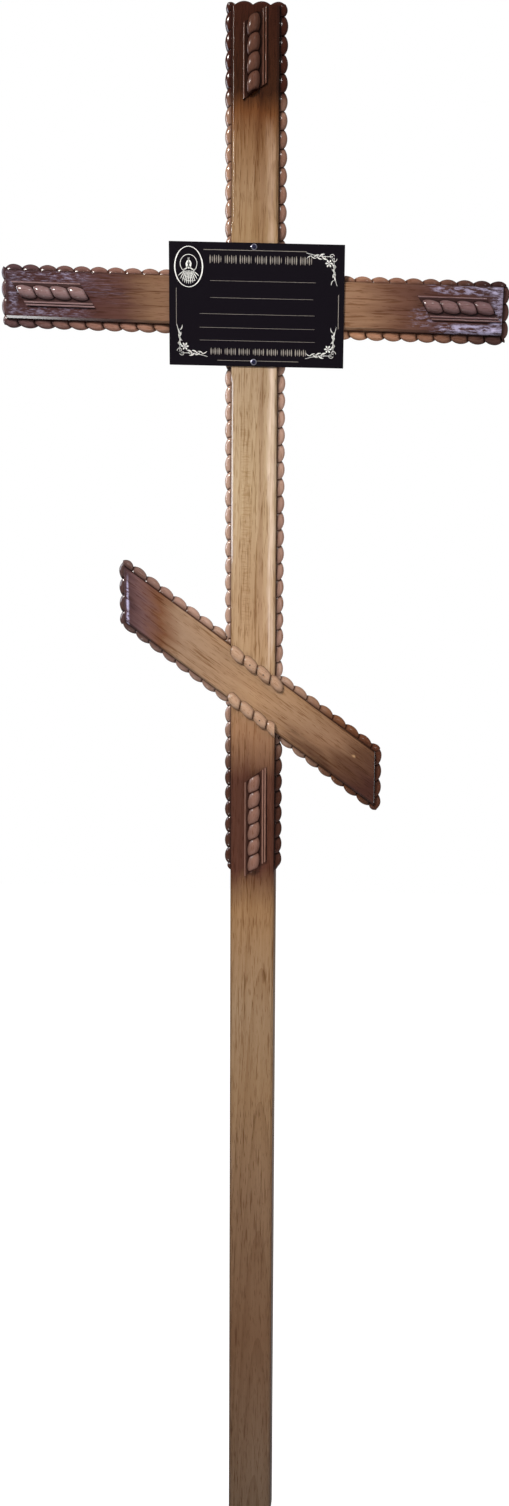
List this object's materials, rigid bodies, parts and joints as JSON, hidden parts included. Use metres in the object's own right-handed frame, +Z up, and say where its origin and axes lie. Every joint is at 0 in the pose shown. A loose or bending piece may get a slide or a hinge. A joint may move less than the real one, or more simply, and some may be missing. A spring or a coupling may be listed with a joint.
{
  "type": "wooden grave cross",
  "caption": "Oak grave cross with a level arm, a slanted footrest, nailed rope moulding round the timbers, raised rope panels and an engraved plaque at the crossing.",
  "frame": {"origin": "middle of the flat underside of the post, where it stands in the ground", "axes": "+Z up along the post, +X to the viewer's right along the arm, the front with the plaque faces -Y"},
  "size_m": [0.7711, 0.0483, 2.4913],
  "materials": {
    "oak": "clear gloss varnish over golden oak, stained dark brown at the ends",
    "rope_oak": "varnished reddish brown carved moulding",
    "stained_oak": "dark brown stain under gloss varnish",
    "black_plaque": "satin black with light engraved strokes",
    "steel": "bright zinc-plated"
  },
  "bodies": {
    "root": {"post": "oak", "arm": "oak", "footrest": "oak", "post_rope_top": "stained_oak", "post_rope_upper_left": "rope_oak", "post_rope_upper_right": "rope_oak", "post_rope_middle_left": "rope_oak", "post_rope_middle_right": "rope_oak", "post_rope_lower_left": "rope_oak", "post_rope_lower_right": "rope_oak", "arm_rope_top_left": "rope_oak", "arm_rope_top_right": "rope_oak", "arm_rope_bottom_left": "rope_oak", "arm_rope_bottom_right": "rope_oak", "arm_rope_end_left": "stained_oak", "arm_rope_end_right": "stained_oak", "footrest_rope_top_left": "rope_oak", "footrest_rope_top_right": "rope_oak", "footrest_rope_bottom_left": "rope_oak", "footrest_rope_bottom_right": "rope_oak", "footrest_rope_end_left": "stained_oak", "footrest_rope_end_right": "stained_oak", "crossing_rope_upper": "rope_oak", "crossing_rope_lower": "rope_oak", "panel_arm_left": "stained_oak", "panel_arm_right": "stained_oak", "panel_post_top": "stained_oak", "panel_post_lower": "stained_oak", "plaque": "black_plaque", "plaque_screw_top": "steel", "plaque_screw_bottom": "steel", "plaque_washer_top": "steel", "plaque_washer_bottom": "steel"}
  },
  "joints": []
}
